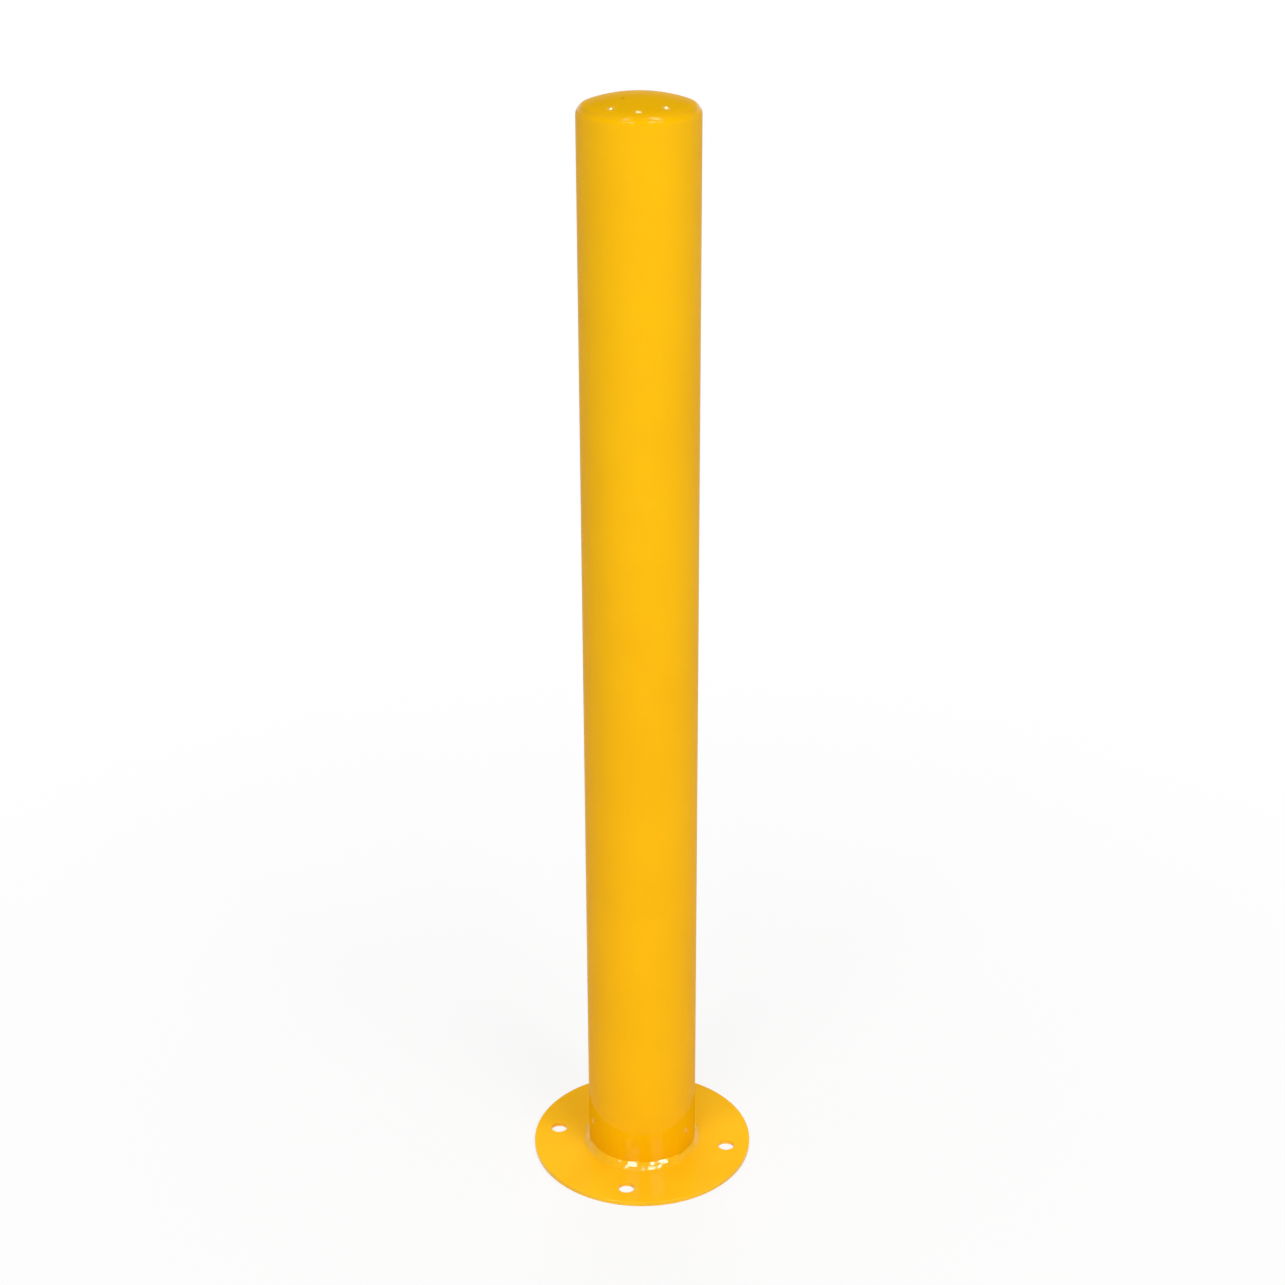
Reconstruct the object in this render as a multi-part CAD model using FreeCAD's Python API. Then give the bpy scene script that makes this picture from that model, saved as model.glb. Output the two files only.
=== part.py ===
"""Surface-mounted steel bollard post, a welded fabrication.

A round tube stands on a flat round flange with anchor holes. A pressed domed cap closes the top.
A fillet weld, laid in several runs, joins tube and flange. A square butt weld, ground flush, joins
tube and cap.

Frame: millimetres, +Z up along the post, origin at the centre of the flange's underside.
The first anchor hole is on +X.
"""

import FreeCAD, Part
import math
import os

from FreeCAD import Vector

# Post
post_height = 1067.0  # underside of the flange to the crown of the cap, 42 in
tube_diameter = 108.0
tube_wall = 3.0

# Base flange
flange_thickness = 5.0
flange_overhang = 56.0  # width of the flat ring outside the tube
flange_arris = 0.8  # bevel along both edges of the rim
anchor_count = 4
anchor_reach = 33.0  # tube wall to the centre of an anchor hole
anchor_hole_diameter = 16.0
drain_hole_diameter = 40.0  # lets pretreatment and rain drain out of the tube

# Domed cap, sizes on its outside
crown_radius = 140.0
knuckle_radius = 10.0
cap_wall = 3.0
cap_skirt = 12.0  # straight stretch below the knuckle

# Butt weld between tube and cap
seam_gap = 2.0

# Fillet weld between tube and flange: the start angle and leg of each run, anticlockwise from +X
weld_run_starts = (52.0, 130.0, 208.0, 322.0)
weld_run_legs = (5.4, 5.0, 6.0, 5.2)
weld_overlap = 4.0  # how far a run reaches over the start of the next and the end of the last one
weld_sink = 1.0  # depth of a run's centre line behind the corner, as a share of its leg

# Worked out from the values above
tube_radius = tube_diameter / 2
tube_bore_radius = tube_radius - tube_wall
flange_radius = tube_radius + flange_overhang
anchor_circle_radius = tube_radius + anchor_reach
knuckle_inset = tube_radius - knuckle_radius  # axis to the knuckle's centre
knuckle_drop = math.sqrt((crown_radius - knuckle_radius) ** 2 - knuckle_inset**2)
crown_centre_z = post_height - crown_radius
knuckle_z = crown_centre_z + knuckle_drop  # where the straight skirt begins
cap_foot_z = knuckle_z - cap_skirt
tube_top_z = cap_foot_z - seam_gap
full_turn = 360.0

Z_AXIS = Vector(0, 0, 1)
ORIGIN = Vector(0, 0, 0)


def section_point(radius, height):
    """A point of a half section, in the XZ plane."""
    return Vector(radius, 0, height)


def revolved(edges):
    """The solid that a closed half section sweeps about the post's axis."""
    face = Part.Face(Part.Wire(edges))
    return face.revolve(ORIGIN, Z_AXIS, full_turn)


def ring(inner_radius, outer_radius, bottom_z, top_z):
    """A plain ring about the post's axis."""
    corners = [
        section_point(inner_radius, bottom_z),
        section_point(outer_radius, bottom_z),
        section_point(outer_radius, top_z),
        section_point(inner_radius, top_z),
    ]
    return revolved(Part.makePolygon(corners + corners[:1]).Edges)


def polar(radius, angle_deg, height):
    """A point at a radius and angle about the post's axis."""
    angle = math.radians(angle_deg)
    return Vector(radius * math.cos(angle), radius * math.sin(angle), height)


def base_flange():
    """Flat disc with a bevelled rim, anchor holes on a circle and a drain hole in the middle."""
    disc = Part.makeCylinder(flange_radius, flange_thickness)
    rim = [e for e in disc.Edges if isinstance(e.Curve, Part.Circle)]
    plate = disc.makeChamfer(flange_arris, rim)
    holes = [Part.makeCylinder(drain_hole_diameter / 2, flange_thickness)]
    for index in range(anchor_count):
        centre = polar(anchor_circle_radius, index * full_turn / anchor_count, 0)
        holes.append(Part.makeCylinder(anchor_hole_diameter / 2, flange_thickness, centre))
    return plate.cut(holes)


def post_tube():
    """Round tube, square cut at both ends, standing on the flange."""
    return ring(tube_bore_radius, tube_radius, flange_thickness, tube_top_z)


def arc_point(centre, radius, lean):
    """A point of an arc in the half section, at an angle from the vertical."""
    return centre + section_point(radius * math.sin(lean), radius * math.cos(lean))


def dish(inset, rolled):
    """The space under the cap's outline, offset inwards: crown, knuckle and straight skirt.

    The crown is cut from a ball that lies on its side, with its poles and seam away from the crown.
    The knuckle below it is a rolled edge, or a plain bevel between the same two circles.
    """
    crown = crown_radius - inset
    knuckle = knuckle_radius - inset
    crown_centre = section_point(0, crown_centre_z)
    knuckle_centre = section_point(knuckle_inset, knuckle_z)
    shoulder_lean = math.asin(knuckle_inset / (crown_radius - knuckle_radius))
    skirt_lean = math.pi / 2
    shoulder = arc_point(crown_centre, crown, shoulder_lean)
    middle = arc_point(knuckle_centre, knuckle, (shoulder_lean + skirt_lean) / 2)
    skirt_top = arc_point(knuckle_centre, knuckle, skirt_lean)
    foot = section_point(skirt_top.x, cap_foot_z)
    below_shoulder = [foot, section_point(0, cap_foot_z), section_point(0, shoulder.z), shoulder]
    edge = Part.Arc(shoulder, middle, skirt_top) if rolled else Part.LineSegment(shoulder, skirt_top)
    body = revolved([edge.toShape()] + Part.makePolygon([skirt_top] + below_shoulder).Edges)
    ball = Part.makeSphere(crown, crown_centre, Vector(0, -1, 0))
    above_shoulder = Part.makeCylinder(tube_radius, crown, section_point(0, shoulder.z))
    return body.fuse(ball.common(above_shoulder)).removeSplitter()


def dome_cap():
    """Pressed dished end with a short straight skirt. Its hidden inside has a bevel for the knuckle."""
    return dish(0, rolled=True).cut(dish(cap_wall, rolled=False))


def cap_weld():
    """Butt weld that fills the gap between tube and cap, ground flush."""
    return ring(tube_bore_radius, tube_radius, tube_top_z, cap_foot_z)


def weld_run(leg, start_deg, end_deg):
    """One run of the fillet weld: a round bead bent about the post, with rounded start and stop.

    Its centre line lies behind the corner, inside the steel, so only a shallow convex face shows.
    The face meets tube and flange one leg away from the corner.
    """
    sink = weld_sink * leg
    path_radius = tube_radius - sink
    path_z = flange_thickness - sink
    bead_radius = math.hypot(leg + sink, sink)
    circle = Part.makeCircle(bead_radius, section_point(path_radius, path_z), Vector(0, 1, 0))
    bead = Part.Face(Part.Wire(circle)).revolve(ORIGIN, Z_AXIS, end_deg - start_deg)
    bead.rotate(ORIGIN, Z_AXIS, start_deg)
    ends = []
    for angle in (start_deg, end_deg):
        end = Part.makeSphere(bead_radius, section_point(-path_radius, path_z))
        end.rotate(ORIGIN, Z_AXIS, angle - full_turn / 2)
        ends.append(end)
    return bead.fuse(ends)


def base_weld():
    """All runs of the fillet weld as one ring, cut to seat on the tube and the flange."""
    overlap_deg = math.degrees(weld_overlap / tube_radius)
    run_ends = weld_run_starts[1:] + (weld_run_starts[0] + full_turn,)
    runs = []
    for leg, start, end in zip(weld_run_legs, weld_run_starts, run_ends):
        runs.append(weld_run(leg, start - overlap_deg, end + overlap_deg))
    bead = runs[0].fuse(runs[1:])
    open_corner = ring(tube_radius, flange_radius, flange_thickness, tube_top_z)
    return bead.common(open_corner).removeSplitter()


def main():
    """Build every piece and write one STEP file for each."""
    os.makedirs("parts", exist_ok=True)
    for piece in (base_flange, post_tube, dome_cap, base_weld, cap_weld):
        solid = piece()
        solid.exportStep(os.path.join("parts", piece.__name__ + ".step"))


main()
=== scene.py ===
"""Looks of a steel bollard post: tube, domed cap and base flange under one glossy yellow powder coat.

Everything is in metres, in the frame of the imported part: +Z runs up the post and the origin lies
under the middle of the base flange.
"""

import math

import bmesh
import bpy
from mathutils import Matrix, Vector


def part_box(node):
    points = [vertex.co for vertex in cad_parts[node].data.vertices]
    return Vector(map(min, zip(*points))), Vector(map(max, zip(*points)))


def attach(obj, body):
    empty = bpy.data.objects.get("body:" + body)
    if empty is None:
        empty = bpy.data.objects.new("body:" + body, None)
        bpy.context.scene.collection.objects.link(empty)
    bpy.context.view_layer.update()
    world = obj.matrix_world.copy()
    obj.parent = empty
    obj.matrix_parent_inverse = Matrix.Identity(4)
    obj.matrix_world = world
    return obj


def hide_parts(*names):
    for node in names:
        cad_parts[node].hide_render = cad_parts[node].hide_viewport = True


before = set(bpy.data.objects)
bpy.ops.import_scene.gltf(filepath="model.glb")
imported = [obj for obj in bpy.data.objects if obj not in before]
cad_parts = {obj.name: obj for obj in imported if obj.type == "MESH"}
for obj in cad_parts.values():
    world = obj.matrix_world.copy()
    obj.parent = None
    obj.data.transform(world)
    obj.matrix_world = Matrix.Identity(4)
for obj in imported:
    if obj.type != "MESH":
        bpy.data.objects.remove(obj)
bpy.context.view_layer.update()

FULL_TURN = 2.0 * math.pi
QUARTER_TURN = math.pi / 2
FULL_DEGREES = 360.0
HALF_DEGREES = 180.0

# Sizes of the post, as in its solids
TUBE_RADIUS = 0.054
TUBE_WALL = 0.003
TUBE_BORE_RADIUS = TUBE_RADIUS - TUBE_WALL
FLANGE_RADIUS = 0.110
ANCHOR_COUNT = 4
ANCHOR_REACH = 0.087
ANCHOR_HOLE_RADIUS = 0.008
DRAIN_HOLE_RADIUS = 0.020
ARRIS_RADIUS = 0.0009
CROWN_RADIUS = 0.140
KNUCKLE_RADIUS = 0.010
CAP_WALL = 0.003
FLANGE_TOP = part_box("base_flange")[1].z
TUBE_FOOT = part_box("post_tube")[0].z
TUBE_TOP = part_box("post_tube")[1].z
CAP_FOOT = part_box("dome_cap")[0].z
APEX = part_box("dome_cap")[1].z

# Fineness of the meshes, and the angles in degrees past which an edge is sharp
ROUND_STEPS = 288
CROWN_STEPS = 36
KNUCKLE_STEPS = 20
INNER_CROWN_STEPS = 12
INNER_KNUCKLE_STEPS = 10
ARRIS_STEPS = 5
HOLE_STEPS = 72
BEAD_ROUND_STEPS = 1440
BEAD_ACROSS_STEPS = 30
BEAD_CROWDING = 1.7  # power that crowds the bead's rows towards the plate
SHARP_ANGLE = 40.0
BEAD_SHARP_ANGLE = 60.0
LARGE_FACE_WEIGHT = 100  # lets the large flat faces of the plate set the shading
ON_AXIS = 1e-9  # a smaller radius is a point on the axis

# Which side of an outline the plate's steel is on
RIM_SIDE = 1.0
HOLE_SIDE = -1.0

# Runs of the weld: start in degrees round the post, leg on the plate, leg on the tube, reach of the lip
WELD_RUNS = (
    (52.0, 0.0054, 0.0056, 0.0064),
    (130.0, 0.0050, 0.0052, 0.0060),
    (208.0, 0.0052, 0.0066, 0.0066),
    (322.0, 0.0046, 0.0050, 0.0074),
)
RUN_NOSE = 0.0045  # how far a run begins before its start
RUN_TAIL = 0.0060  # how far it goes on past the start of the next one
NOSE_ROUNDING = 1.6  # noses until a run is full
TAIL_ROUNDING = 1.8  # tails over which it thins out
LIP_EDGE = 0.0003  # height of the lip's blunt edge
LIP_FALL = 0.08  # slope of the lip's top
LIP_STEEPEST = 1.2  # angle in radians up to which the blunt edge is followed
BEAD_CROWNING = 0.022  # how far the face bulges, as a share of the leg on the plate
FLANK_POWER = 0.5  # how soon ripples and ridges fade towards the edges of the face
RIPPLE_PITCH = 0.0021
RIPPLE_HEIGHT = 0.000003
RIPPLE_BOW = 0.0016
RIPPLE_UNEVENNESS = 0.18
RIDGE_HEIGHT = 0.000022
RIDGE_COUNT = 2.3
RIDGE_WANDER = 1.6
TOE_WAVER = 0.00036
WAVER_LENGTHS = (0.0113, 0.0187, 0.0279, 0.0431)
WAVER_PHASE = 1.7
WAVER_PEAK = 2.6
PLATE_TOE_SEED = 2.0
TUBE_TOE_SEED = 5.0
RIPPLE_SEED = 9.0
RIDGE_SEED = 3.0

# Colours and gloss of the coat
WHITE = (1.0, 1.0, 1.0, 1.0)
COAT_HIGH = (0.885, 0.472, 0.0005, 1.0)
# Painted light: the coat at the foot of the post is lighter and more orange than higher up
COAT_FOOT_PAINTED_LIGHT = (0.95, 0.468, 0.0005, 1.0)
COAT_DEEP = (0.86, 0.425, 0.0005, 1.0)
# Painted light: the plate's and the weld's coat is lighter and paler than the tube's
COAT_PLATE_PAINTED_LIGHT = (0.955, 0.525, 0.012, 1.0)
# Painted shade: the crown's coat is about a quarter darker than the tube's
COAT_CROWN_PAINTED_SHADE = (0.655, 0.346, 0.0005, 1.0)
COAT_IOR = 1.20
PLATE_IOR = 1.45
BEAD_IOR = 1.50
GLOSS_TINT = (1.0, 0.80, 0.40, 1.0)
BEAD_TINT = WHITE
BRIGHT = (0.07, 0.11)
SATIN = (0.27, 0.33)
MARK_COLOUR = (0.50, 0.25, 0.003, 1.0)
MARK_PLACE = (-0.0108, -0.0167, APEX - 0.0014)
MARK_SIZE = (0.0025, 0.0036, 0.0060)
MARK_BAND = (0.15, 1.0)  # the mark fades out between these shares of its size

# Grain of the coat: lumps in a metre, depths in metres, and the bands of noise that show
LUMP_BAND = (0.3, 0.7)
CLOUD_SCALE = 11.0
CLOUD_SHARE = 0.5
GRAIN_SCALE = 650.0
GRAIN_BAND = (0.62, 0.80)
GRAIN_SHARE = 0.35
SHEEN_SCALE = 120.0
PEEL_SCALE = 380.0
PEEL_DEPTH = 0.000011
SWELL_SCALE = 45.0
SWELL_DEPTH = 0.00002
DRAW_SCALE = 90.0
DRAW_DEPTH = 0.00004
DRAW_STRETCH = (1.0, 1.0, 0.02)
COLOUR_DETAIL = 2.0
RELIEF_DETAIL = 1.0
NOISE_ROUGHNESS = 0.5

# Heights between which the coat changes, among them the painted light up the tube and the painted shade on
# the crown
PAINTED_LIGHT_BAND = (0.10, 0.90)
POOL_BAND = (0.030, 0.048)
CROWN_SHADE_BAND = (APEX - 0.017, APEX - 0.005)
POLISH_BAND = (APEX - 0.0135, APEX - 0.0085)
BEND_FOOT_BAND = (APEX - 0.0140, APEX - 0.0115)
BEND_TOP_BAND = (APEX - 0.0100, APEX - 0.0083)

# Strength of the clear skin on the tube and the cap
SKIN_PLAIN = 0.16
SKIN_POOLED = 0.46
SKIN_BEND = 0.80
CROWN_SKIN_SHARE = 0.2
CROWN_POLISH = 0.2
TUBE_SKIN_ROUGHNESS = 0.07
CAP_SKIN_ROUGHNESS = 0.08

# Places of the colour sockets on a mix node
MIX_FIRST_COLOUR = 6
MIX_SECOND_COLOUR = 7
MIX_COLOUR_RESULT = 2

# Camera, in degrees, metres and millimetres of lens
VIEW_AZIMUTH = 10.37
VIEW_ELEVATION = 24.0
VIEW_DISTANCE = 2.2
VIEW_LENS = 66.17
VIEW_SENSOR = 36.0
VIEW_ROLL = -0.163
AIM_HEIGHT = 0.55936
AIM_SIDE = 0.00181

# Floor and backdrop
FLOOR_RADIUS = 60.0
FLOOR_STEPS = 96
FLOOR_GREY = (0.75, 0.75, 0.75, 1.0)
FLOOR_ROUGHNESS = 0.7
FLOOR_SPECULAR = 0.1
FLOOR_BAND = (0.15, 1.4)  # distances from the post between which its shadow is lost in white
FLOOR_WHITENESS = (0.80, 1.0)
FILL_BAND = (-0.1, 1.0)
FILL_LEVELS = (0.0, 0.74)
BACKDROP_BAND = (0.0, 0.45)
BACKDROP_LEVELS = (1.0, 0.10)

# Lamps: turns in degrees from the camera's azimuth, places and sizes in metres
SOFTBOX_TURNS = (("left", -21.0), ("right", 33.0))
SOFTBOX_REACH = 6.0
SOFTBOX_HEIGHT = 4.6
SOFTBOX_SIZE = (3.0, 0.85)
SOFTBOX_RADIANCE = 20.6
SOFTBOX_AIM = (0.0, 0.0, 0.5)
OVERHEAD_TURNS_WIDTHS = (("left", -36.0, 0.4), ("right", 49.0, 0.75))
OVERHEAD_REACH = 2.0
OVERHEAD_HEIGHT = 4.5
OVERHEAD_LENGTH = 1.6
OVERHEAD_RADIANCE = 5.6
OVERHEAD_AIM = (0.0, 0.0, 1.05)
BACK_HEIGHT = 3.5
BACK_SIZE = (4.0, 3.0)
BACK_RADIANCE = 3.0

# Bulbs: name, azimuth and elevation in degrees, distance from the crown, radius and radiance
BULBS = (
    ("left", -157.9, 38.0, 3.2, 0.034, 150.0),
    ("right", 179.1, 37.3, 3.2, 0.034, 125.0),
    ("high", -169.5, 48.5, 2.8, 0.030, 100.0),
)
BULB_CENTRE = (0.0, -0.03, 1.06)


def add_piece(name, points, faces, solid, coat, sharp_angle=SHARP_ANGLE):
    """Adds a coated piece that stands for one of the solids."""
    mesh = bpy.data.meshes.new(name)
    mesh.from_pydata(points, [], faces)
    mesh.validate()
    mesh.shade_smooth()
    mesh.set_sharp_from_angle(angle=math.radians(sharp_angle))
    mesh.materials.append(coat)
    piece = bpy.data.objects.new(name, mesh)
    bpy.context.scene.collection.objects.link(piece)
    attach(piece, "root")
    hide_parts(solid)
    return piece


def revolved(section):
    """Points and faces of a closed section of (radius, height) turned once round the post's axis."""
    points = []
    rings = []
    for radius, height in section:
        first = len(points)
        if radius < ON_AXIS:
            points.append((0.0, 0.0, height))
            rings.append([first] * ROUND_STEPS)
            continue
        for k in range(ROUND_STEPS):
            turn = FULL_TURN * k / ROUND_STEPS
            points.append((radius * math.cos(turn), radius * math.sin(turn), height))
        rings.append(list(range(first, first + ROUND_STEPS)))
    faces = []
    for low, high in zip(rings, rings[1:] + rings[:1]):
        for k in range(ROUND_STEPS):
            after = (k + 1) % ROUND_STEPS
            corners = list(dict.fromkeys((low[k], low[after], high[after], high[k])))
            if len(corners) > 2:
                faces.append(corners)
    return points, faces


def tube_section(low, high):
    """Section of a stretch of the tube's wall between two heights."""
    outside = [(TUBE_RADIUS, low), (TUBE_RADIUS, high)]
    inside = [(TUBE_BORE_RADIUS, high), (TUBE_BORE_RADIUS, low)]
    return outside + inside


def arc(centre, radius, first_lean, last_lean, steps):
    """Section points on an arc, by their lean from the vertical in radians."""
    leans = [first_lean + (last_lean - first_lean) * k / steps for k in range(steps + 1)]
    return [(centre[0] + radius * math.sin(g), centre[1] + radius * math.cos(g)) for g in leans]


def make_tube(coat):
    """The post's tube, open at both ends."""
    points, faces = revolved(tube_section(TUBE_FOOT, TUBE_TOP))
    return add_piece("coated_tube", points, faces, "post_tube", coat)


def make_seam(coat):
    """The ground-flush weld between the tube and the cap."""
    points, faces = revolved(tube_section(TUBE_TOP, CAP_FOOT))
    return add_piece("coated_cap_seam", points, faces, "cap_weld", coat)


def make_cap(coat):
    """The pressed cap: a shallow crown rolled over a tight knuckle into a short skirt."""
    crown_centre = (0.0, APEX - CROWN_RADIUS)
    reach = CROWN_RADIUS - KNUCKLE_RADIUS
    lean = math.asin((TUBE_RADIUS - KNUCKLE_RADIUS) / reach)
    knuckle_centre = (TUBE_RADIUS - KNUCKLE_RADIUS, crown_centre[1] + reach * math.cos(lean))
    outside = [(TUBE_RADIUS, CAP_FOOT)]
    outside += arc(knuckle_centre, KNUCKLE_RADIUS, QUARTER_TURN, lean, KNUCKLE_STEPS)
    outside += arc(crown_centre, CROWN_RADIUS, lean, 0.0, CROWN_STEPS)[1:]
    inside = arc(crown_centre, CROWN_RADIUS - CAP_WALL, 0.0, lean, INNER_CROWN_STEPS)
    inside += arc(knuckle_centre, KNUCKLE_RADIUS - CAP_WALL, lean, QUARTER_TURN, INNER_KNUCKLE_STEPS)[1:]
    inside += [(TUBE_RADIUS - CAP_WALL, CAP_FOOT)]
    points, faces = revolved(outside + inside)
    return add_piece("coated_cap", points, faces, "dome_cap", coat)


def plate_edge():
    """Steps of the plate's edge from its upper face to its lower one, as (set back, height)."""
    upper = []
    for k in range(ARRIS_STEPS + 1):
        lean = QUARTER_TURN * k / ARRIS_STEPS
        back = ARRIS_RADIUS * (1 - math.sin(lean))
        upper.append((back, FLANGE_TOP - ARRIS_RADIUS * (1 - math.cos(lean))))
    lower = [(back, FLANGE_TOP - height) for back, height in reversed(upper)]
    return upper + lower


def plate_outlines():
    """The plate's rim, drain hole and anchor holes, each as (x, y, radius, side, steps)."""
    outlines = [
        (0.0, 0.0, FLANGE_RADIUS, RIM_SIDE, ROUND_STEPS),
        (0.0, 0.0, DRAIN_HOLE_RADIUS, HOLE_SIDE, HOLE_STEPS),
    ]
    for k in range(ANCHOR_COUNT):
        turn = FULL_TURN * k / ANCHOR_COUNT
        x = ANCHOR_REACH * math.cos(turn)
        y = ANCHOR_REACH * math.sin(turn)
        outlines.append((x, y, ANCHOR_HOLE_RADIUS, HOLE_SIDE, HOLE_STEPS))
    return outlines


def plate_wall(bm, x, y, radius, side, steps):
    """Adds the wall along one outline of the plate, and gives the edges at its top and its bottom."""
    turns = [FULL_TURN * k / steps for k in range(steps)]
    rings = []
    for back, height in plate_edge():
        reach = radius - side * back
        spots = [(x + reach * math.cos(t), y + reach * math.sin(t), height) for t in turns]
        rings.append([bm.verts.new(spot) for spot in spots])
    for high, low in zip(rings, rings[1:]):
        for k in range(steps):
            after = (k + 1) % steps
            bm.faces.new((high[k], high[after], low[after], low[k]))
    ends = []
    for ring in (rings[0], rings[-1]):
        ends.append([bm.edges.get((ring[k], ring[(k + 1) % steps])) for k in range(steps)])
    return ends


def make_flange(coat):
    """The round base plate with its anchor holes and the drain hole under the tube, all edges eased."""
    bm = bmesh.new()
    upper_edges = []
    lower_edges = []
    for outline in plate_outlines():
        upper, lower = plate_wall(bm, *outline)
        upper_edges += upper
        lower_edges += lower
    for edges, up in ((upper_edges, 1.0), (lower_edges, -1.0)):
        bmesh.ops.triangle_fill(bm, use_beauty=True, use_dissolve=False, edges=edges, normal=(0.0, 0.0, up))
    bmesh.ops.recalc_face_normals(bm, faces=bm.faces)
    bm.verts.index_update()
    points = [tuple(v.co) for v in bm.verts]
    faces = [[v.index for v in face.verts] for face in bm.faces]
    bm.free()
    piece = add_piece("coated_flange", points, faces, "base_flange", coat)
    flat = piece.modifiers.new("flat_faces", "WEIGHTED_NORMAL")
    flat.keep_sharp = True
    flat.weight = LARGE_FACE_WEIGHT
    return piece


def bead_reach(plate_leg, tube_leg, slope):
    """Distance of a nearly flat fillet's face from its corner, at an angle up from the plate."""
    chord = 1.0 / (math.cos(slope) / plate_leg + math.sin(slope) / tube_leg)
    return chord + BEAD_CROWNING * plate_leg * math.sin(2.0 * slope)


def lip_reach(reach, slope):
    """The same for the thin blunt lip that a hot run leaves on the plate."""
    top = (LIP_EDGE + LIP_FALL * reach) / (math.sin(slope) + LIP_FALL * math.cos(slope))
    return min(reach / math.cos(min(slope, LIP_STEEPEST)), top)


def waver(along, seed):
    """A slow unsteady wander between about -1 and 1, by the distance along the weld."""
    total = 0.0
    for k, length in enumerate(WAVER_LENGTHS):
        total += math.sin(FULL_TURN * along / length + seed * (k + 1) * WAVER_PHASE)
    return total / WAVER_PEAK


def rounded_end(distance, length):
    """How full a run is near one of its ends: nothing at the end, whole after the given length."""
    if distance <= 0.0:
        return 0.0
    if distance >= length:
        return 1.0
    return math.sqrt(1.0 - (1.0 - distance / length) ** 2)


def place_on_run(index, angle):
    """How far along one run an angle round the post lies, and how full the run is there."""
    start, plate_leg = WELD_RUNS[index][:2]
    next_start = WELD_RUNS[(index + 1) % len(WELD_RUNS)][0]
    metres = math.radians(1.0) * (TUBE_RADIUS + plate_leg / 2)
    length = ((next_start - start) % FULL_DEGREES) * metres
    offset = ((angle - start + HALF_DEGREES) % FULL_DEGREES - HALF_DEGREES) * metres
    if offset < -RUN_NOSE:
        offset += FULL_DEGREES * metres
    along = offset + RUN_NOSE
    left = length + RUN_TAIL - offset
    full = rounded_end(along, RUN_NOSE * NOSE_ROUNDING) * rounded_end(left, RUN_TAIL * TAIL_ROUNDING)
    return along, full


def run_texture(index, along, across):
    """Height of the bowed ripples and the ridges along one run, with across from 0 to 1 up its face."""
    middle = math.sin(math.pi * across) ** FLANK_POWER
    bow = RIPPLE_BOW * (2.0 * across - 1.0) ** 2
    uneven = RIPPLE_UNEVENNESS * waver(along, RIPPLE_SEED + index)
    phase = FULL_TURN * ((along + bow) / RIPPLE_PITCH + uneven)
    ripple = RIPPLE_HEIGHT * (abs(math.cos(phase / 2)) * 2.0 - 1.0) * middle
    ridge_phase = FULL_TURN * RIDGE_COUNT * across + RIDGE_WANDER * waver(along, RIDGE_SEED + index)
    ridge = RIDGE_HEIGHT * math.sin(ridge_phase) * middle
    return ripple + ridge


def run_face(index, angle, slope):
    """Distance of one run's face from the corner, or zero where that run isn't."""
    plate_leg, tube_leg, lip = WELD_RUNS[index][1:]
    along, full = place_on_run(index, angle)
    if full <= 0.0:
        return 0.0
    across = slope / QUARTER_TURN
    plate_toe = waver(along, PLATE_TOE_SEED + index)
    tube_toe = waver(along, TUBE_TOE_SEED + index)
    wander = TOE_WAVER * ((1 - across) * plate_toe + across * tube_toe)
    reach = bead_reach(plate_leg * full, tube_leg * full, slope)
    reach += (wander + run_texture(index, along, across)) * full
    return max(reach, full * lip_reach(lip + wander, slope))


def make_bead(coat):
    """The fillet weld round the foot of the tube: four rippled runs, each overlapping the one before."""
    points = []
    rows = BEAD_ACROSS_STEPS + 2
    for j in range(BEAD_ROUND_STEPS):
        angle = FULL_DEGREES * j / BEAD_ROUND_STEPS
        turn = math.radians(angle)
        sides = [(0.0, 0.0)]
        for i in range(BEAD_ACROSS_STEPS + 1):
            slope = QUARTER_TURN * (i / BEAD_ACROSS_STEPS) ** BEAD_CROWDING
            reach = max(run_face(index, angle, slope) for index in range(len(WELD_RUNS)))
            sides.append((reach * math.cos(slope), reach * math.sin(slope)))
        for out, painted_light_fade in sides:
            radius = TUBE_RADIUS + out
            points.append((radius * math.cos(turn), radius * math.sin(turn), FLANGE_TOP + painted_light_fade))
    faces = []
    for j in range(BEAD_ROUND_STEPS):
        here = j * rows
        there = ((j + 1) % BEAD_ROUND_STEPS) * rows
        for i in range(rows):
            after = (i + 1) % rows
            faces.append((here + i, there + i, there + after, here + after))
    return add_piece("coated_base_weld", points, faces, "base_weld", coat, BEAD_SHARP_ANGLE)


def node(tree, kind, **settings):
    """Adds a shader node, with its settings and the values of its unlinked inputs."""
    made = tree.nodes.new(kind)
    for key, value in settings.items():
        if key in made.inputs:
            made.inputs[key].default_value = value
        else:
            setattr(made, key, value)
    return made


def noise(tree, vector, scale, detail=COLOUR_DETAIL):
    """Adds a noise whose lumps are about one over scale metres wide."""
    made = node(tree, "ShaderNodeTexNoise", Scale=scale, Detail=detail, Roughness=NOISE_ROUGHNESS)
    tree.links.new(vector, made.inputs["Vector"])
    return made.outputs["Fac"]


def relief(tree, height, depth, below=None):
    """Adds a bump of the given depth in metres over an earlier one."""
    made = node(tree, "ShaderNodeBump", Strength=1.0, Distance=depth)
    tree.links.new(height, made.inputs["Height"])
    if below is not None:
        tree.links.new(below, made.inputs["Normal"])
    return made.outputs["Normal"]


def blend_colour(tree, factor, first, second):
    """Adds a mix of two colours, either of which may be a fixed colour or another node's output."""
    made = node(tree, "ShaderNodeMix", data_type="RGBA")
    tree.links.new(factor, made.inputs["Factor"])
    for place, colour in ((MIX_FIRST_COLOUR, first), (MIX_SECOND_COLOUR, second)):
        if isinstance(colour, tuple):
            made.inputs[place].default_value = colour
        else:
            tree.links.new(colour, made.inputs[place])
    return made.outputs[MIX_COLOUR_RESULT]


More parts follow.
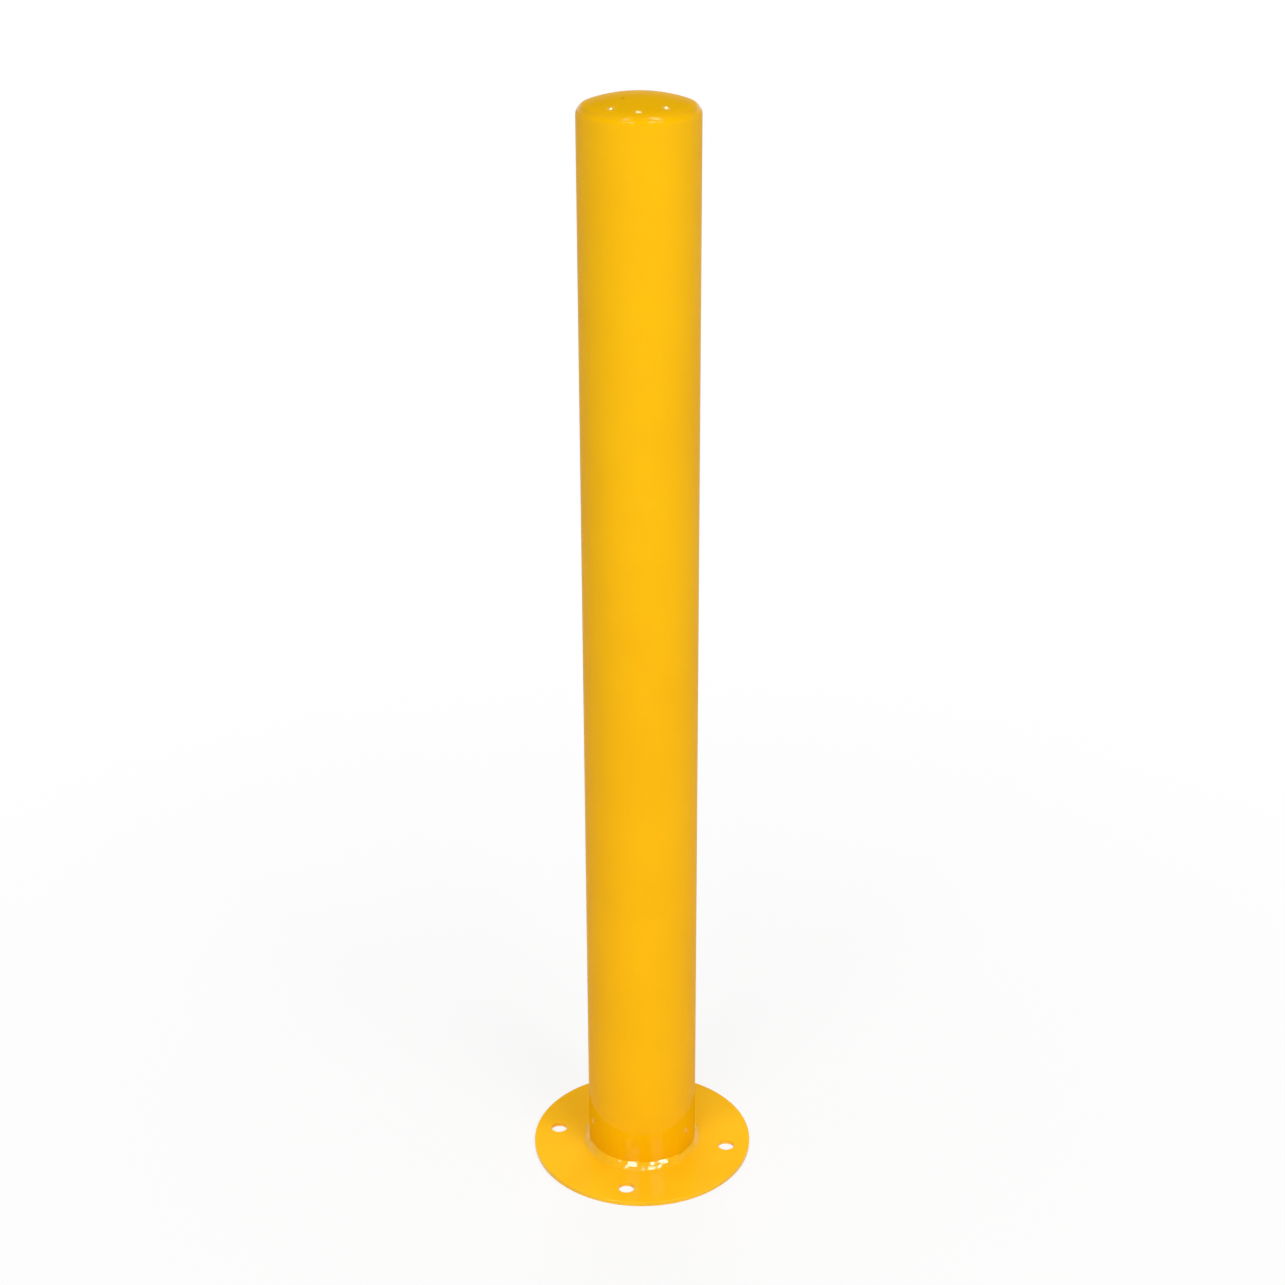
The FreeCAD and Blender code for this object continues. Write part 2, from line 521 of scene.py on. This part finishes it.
def blend_value(tree, factor, first, second):
    """Adds a mix of two nodes' numbers."""
    made = node(tree, "ShaderNodeMix", data_type="FLOAT")
    for number, socket in ((factor, "Factor"), (first, "A"), (second, "B")):
        tree.links.new(number, made.inputs[socket])
    return made.outputs["Result"]


def blend_shader(tree, factor, first, second):
    """Adds a mix of two shaders."""
    made = tree.nodes.new("ShaderNodeMixShader")
    tree.links.new(factor, made.inputs["Fac"])
    tree.links.new(first, made.inputs[1])
    tree.links.new(second, made.inputs[2])
    return made.outputs["Shader"]


def spread(tree, value, band, levels):
    """Adds a smooth change from the first level to the second as a value crosses a band."""
    made = node(tree, "ShaderNodeMapRange", interpolation_type="SMOOTHSTEP")
    made.inputs["From Min"].default_value, made.inputs["From Max"].default_value = band
    made.inputs["To Min"].default_value, made.inputs["To Max"].default_value = levels
    tree.links.new(value, made.inputs["Value"])
    return made.outputs["Result"]


def joined(tree, operation, first, second):
    """Adds a product, maximum or the like of two nodes' numbers."""
    made = node(tree, "ShaderNodeMath", operation=operation)
    tree.links.new(first, made.inputs[0])
    tree.links.new(second, made.inputs[1])
    return made.outputs["Value"]


def length_of(tree, vector):
    """Adds the length of a vector."""
    made = node(tree, "ShaderNodeVectorMath", operation="LENGTH")
    tree.links.new(vector, made.inputs[0])
    return made.outputs["Value"]


def height_of(tree, place):
    """Adds the height of a place."""
    made = tree.nodes.new("ShaderNodeSeparateXYZ")
    tree.links.new(place, made.inputs["Vector"])
    return made.outputs["Z"]


def coat_colour(tree, place, height, foot):
    """The coat's yellow: painted light that makes the foot lighter and more orange than the top, soft
    clouds and a fine grain.
    """
    # Painted light: the foot's lighter colour fades into the top's over this band of heights
    painted_light_fade = spread(tree, height, PAINTED_LIGHT_BAND, (0.0, 1.0))
    colour = blend_colour(tree, painted_light_fade, foot, COAT_HIGH)
    cloud = spread(tree, noise(tree, place, CLOUD_SCALE), LUMP_BAND, (0.0, CLOUD_SHARE))
    colour = blend_colour(tree, cloud, colour, COAT_DEEP)
    grain = spread(tree, noise(tree, place, GRAIN_SCALE), GRAIN_BAND, (0.0, GRAIN_SHARE))
    return blend_colour(tree, grain, colour, COAT_DEEP)


def crown_shade_and_mark(tree, place, height, colour):
    """The cap's colour: painted shade that darkens the crown, and a small dull mark on it."""
    # Painted shade: the crown is darkened towards its top
    painted_shade = spread(tree, height, CROWN_SHADE_BAND, (0.0, 1.0))
    colour = blend_colour(tree, painted_shade, colour, COAT_CROWN_PAINTED_SHADE)
    about_mark = node(tree, "ShaderNodeMapping", vector_type="TEXTURE")
    about_mark.inputs["Location"].default_value = MARK_PLACE
    about_mark.inputs["Scale"].default_value = MARK_SIZE
    tree.links.new(place, about_mark.inputs["Vector"])
    mark = spread(tree, length_of(tree, about_mark.outputs["Vector"]), MARK_BAND, (1.0, 0.0))
    return blend_colour(tree, mark, colour, MARK_COLOUR)


def orange_peel(tree, place):
    """The fine peel of a powder coat over a broader swell."""
    peel = relief(tree, noise(tree, place, PEEL_SCALE, RELIEF_DETAIL), PEEL_DEPTH)
    return relief(tree, noise(tree, place, SWELL_SCALE, RELIEF_DETAIL), SWELL_DEPTH, peel)


def draw_waves(tree, place, surface):
    """Long shallow waves up the tube, as drawing leaves them, over an earlier relief."""
    stretch = node(tree, "ShaderNodeMapping", Scale=DRAW_STRETCH)
    tree.links.new(place, stretch.inputs["Vector"])
    waves = noise(tree, stretch.outputs["Vector"], DRAW_SCALE, RELIEF_DETAIL)
    return relief(tree, waves, DRAW_DEPTH, surface)


def clear_skin(tree, shader, weight, roughness):
    """Gives the coat its shine by a thin clear skin instead of by its own surface."""
    tree.links.new(weight, shader.inputs["Coat Weight"])
    shader.inputs["Coat Roughness"].default_value = roughness
    shader.inputs["Specular IOR Level"].default_value = 0.0


def tube_skin(tree, height):
    """Strength of the tube's clear skin: thicker where the coat pooled at the foot."""
    return spread(tree, height, POOL_BAND, (SKIN_POOLED, SKIN_PLAIN))


def cap_skin(tree, height):
    """Strength of the cap's clear skin: thickest on the bend, and thin again on the crown."""
    bend_foot = spread(tree, height, BEND_FOOT_BAND, (SKIN_PLAIN, SKIN_BEND))
    bend_top = spread(tree, height, BEND_TOP_BAND, (1.0, CROWN_SKIN_SHARE))
    return joined(tree, "MULTIPLY", bend_foot, bend_top)


def powder_coat(name, foot=COAT_FOOT_PAINTED_LIGHT, ior=COAT_IOR, tint=GLOSS_TINT, rough=BRIGHT, skin=None):
    """Glossy yellow powder coat with orange peel, and with a clear skin on the tube or the cap."""
    coat = bpy.data.materials.new(name)
    coat.use_nodes = True
    tree = coat.node_tree
    shader = tree.nodes["Principled BSDF"]
    shader.inputs["IOR"].default_value = ior
    shader.inputs["Specular Tint"].default_value = tint
    place = tree.nodes.new("ShaderNodeTexCoord").outputs["Object"]
    height = height_of(tree, place)
    colour = coat_colour(tree, place, height, foot)
    gloss = spread(tree, noise(tree, place, SHEEN_SCALE), LUMP_BAND, rough)
    surface = orange_peel(tree, place)
    if skin == "tube":
        surface = draw_waves(tree, place, surface)
        clear_skin(tree, shader, tube_skin(tree, height), TUBE_SKIN_ROUGHNESS)
    if skin == "cap":
        colour = crown_shade_and_mark(tree, place, height, colour)
        polish = spread(tree, height, POLISH_BAND, (1.0, CROWN_POLISH))
        gloss = joined(tree, "MULTIPLY", gloss, polish)
        clear_skin(tree, shader, cap_skin(tree, height), CAP_SKIN_ROUGHNESS)
    tree.links.new(colour, shader.inputs["Base Color"])
    tree.links.new(gloss, shader.inputs["Roughness"])
    tree.links.new(surface, shader.inputs["Normal"])
    tree.links.new(surface, shader.inputs["Coat Normal"])
    return coat


def seen(tree):
    """One for what the camera sees, itself, in a reflection or through a clear body.

    It is nothing for all other rays.
    """
    path = tree.nodes.new("ShaderNodeLightPath")
    mirrored = joined(tree, "MAXIMUM", path.outputs["Is Glossy Ray"], path.outputs["Is Transmission Ray"])
    return joined(tree, "MAXIMUM", path.outputs["Is Camera Ray"], mirrored)


def make_floor():
    """A pale floor that shows shadows near the post and goes to plain white away from it."""
    bpy.ops.mesh.primitive_circle_add(vertices=FLOOR_STEPS, radius=FLOOR_RADIUS, fill_type="NGON")
    floor = bpy.context.object
    floor.name = "studio_floor"
    pale = bpy.data.materials.new("pale_floor")
    pale.use_nodes = True
    tree = pale.node_tree
    matt = tree.nodes["Principled BSDF"]
    matt.inputs["Base Color"].default_value = FLOOR_GREY
    matt.inputs["Roughness"].default_value = FLOOR_ROUGHNESS
    matt.inputs["Specular IOR Level"].default_value = FLOOR_SPECULAR
    white = node(tree, "ShaderNodeEmission", Color=WHITE, Strength=1.0)
    place = tree.nodes.new("ShaderNodeTexCoord").outputs["Object"]
    away = spread(tree, length_of(tree, place), FLOOR_BAND, FLOOR_WHITENESS)
    share = joined(tree, "MULTIPLY", away, seen(tree))
    shown = blend_shader(tree, share, matt.outputs["BSDF"], white.outputs["Emission"])
    tree.links.new(shown, tree.nodes["Material Output"].inputs["Surface"])
    floor.data.materials.append(pale)


def make_world():
    """White backdrop under a dim ceiling, as seen and reflected.

    For scattered light there is a soft fill from above instead.
    """
    world = bpy.data.worlds.new("studio")
    bpy.context.scene.world = world
    world.use_nodes = True
    tree = world.node_tree
    background = tree.nodes["Background"]
    background.inputs["Color"].default_value = WHITE
    height = height_of(tree, tree.nodes.new("ShaderNodeTexCoord").outputs["Generated"])
    fill = spread(tree, height, FILL_BAND, FILL_LEVELS)
    backdrop = spread(tree, height, BACKDROP_BAND, BACKDROP_LEVELS)
    tree.links.new(blend_value(tree, seen(tree), fill, backdrop), background.inputs["Strength"])


def standing_at(azimuth, elevation, distance, centre):
    """A place round a centre, with azimuth 0 in front of the part and elevation above the horizon."""
    a = math.radians(azimuth)
    e = math.radians(elevation)
    back = Vector((math.sin(a) * math.cos(e), -math.cos(a) * math.cos(e), math.sin(e)))
    return Vector(centre) + distance * back


def softbox(name, azimuth, reach, height, size, radiance, mirrored=True, aim=SOFTBOX_AIM):
    """A soft rectangular lamp of an even brightness, turned to the post."""
    lamp = bpy.data.lights.new(name, "AREA")
    lamp.shape = "RECTANGLE"
    lamp.size, lamp.size_y = size
    lamp.energy = radiance * math.pi * size[0] * size[1]
    holder = bpy.data.objects.new(name, lamp)
    holder.location = standing_at(azimuth, 0.0, reach, (0.0, 0.0, height))
    holder.rotation_euler = (Vector(aim) - holder.location).to_track_quat("-Z", "Y").to_euler()
    holder.visible_camera = False
    holder.visible_glossy = mirrored
    bpy.context.scene.collection.objects.link(holder)


def bulb(name, azimuth, elevation, distance, radius, radiance):
    """A small round lamp above and behind the post, for a point of light on the crown."""
    lamp = bpy.data.lights.new(name, "POINT")
    lamp.shadow_soft_size = radius
    lamp.energy = radiance * math.pi * 4.0 * math.pi * radius ** 2
    holder = bpy.data.objects.new(name, lamp)
    holder.location = standing_at(azimuth, elevation, distance, BULB_CENTRE)
    holder.visible_camera = False
    bpy.context.scene.collection.objects.link(holder)


def make_lamps():
    """Two wide softboxes in front, two lamps high overhead, a weak one behind and three bulbs."""
    for side, turn in SOFTBOX_TURNS:
        azimuth = VIEW_AZIMUTH + turn
        softbox("softbox_" + side, azimuth, SOFTBOX_REACH, SOFTBOX_HEIGHT, SOFTBOX_SIZE, SOFTBOX_RADIANCE)
    for side, turn, width in OVERHEAD_TURNS_WIDTHS:
        softbox(
            "overhead_" + side, VIEW_AZIMUTH + turn, OVERHEAD_REACH, OVERHEAD_HEIGHT,
            (width, OVERHEAD_LENGTH), OVERHEAD_RADIANCE, aim=OVERHEAD_AIM,
        )
    behind = VIEW_AZIMUTH + HALF_DEGREES
    softbox("softbox_back", behind, SOFTBOX_REACH, BACK_HEIGHT, BACK_SIZE, BACK_RADIANCE, mirrored=False)
    for side, azimuth, elevation, distance, radius, radiance in BULBS:
        bulb("bulb_" + side, azimuth, elevation, distance, radius, radiance)


def make_camera():
    """A camera at the photograph's angle."""
    data = bpy.data.cameras.new("camera")
    data.sensor_width = VIEW_SENSOR
    data.lens = VIEW_LENS
    camera = bpy.data.objects.new("camera", data)
    a = math.radians(VIEW_AZIMUTH)
    aim = Vector((math.cos(a) * AIM_SIDE, math.sin(a) * AIM_SIDE, AIM_HEIGHT))
    camera.location = standing_at(VIEW_AZIMUTH, VIEW_ELEVATION, VIEW_DISTANCE, aim)
    level = (aim - camera.location).to_track_quat("-Z", "Y").to_matrix()
    roll = Matrix.Rotation(math.radians(VIEW_ROLL), 3, "Z")
    camera.rotation_euler = (level @ roll).to_euler()
    bpy.context.scene.collection.objects.link(camera)
    bpy.context.scene.camera = camera


# The plate and the weld get the coat painted lighter and paler, as painted light
plate_coat = powder_coat("yellow_coat_plate", foot=COAT_PLATE_PAINTED_LIGHT, ior=PLATE_IOR)
bead_coat = powder_coat("yellow_coat_weld", foot=COAT_PLATE_PAINTED_LIGHT, ior=BEAD_IOR, tint=BEAD_TINT)
tube_coat = powder_coat("yellow_coat_tube", rough=SATIN, skin="tube")
cap_coat = powder_coat("yellow_coat_cap", rough=SATIN, skin="cap")
make_flange(plate_coat)
make_tube(tube_coat)
make_seam(tube_coat)
make_cap(cap_coat)
make_bead(bead_coat)
make_floor()
make_world()
make_lamps()
make_camera()
bpy.context.scene.view_settings.view_transform = "Standard"
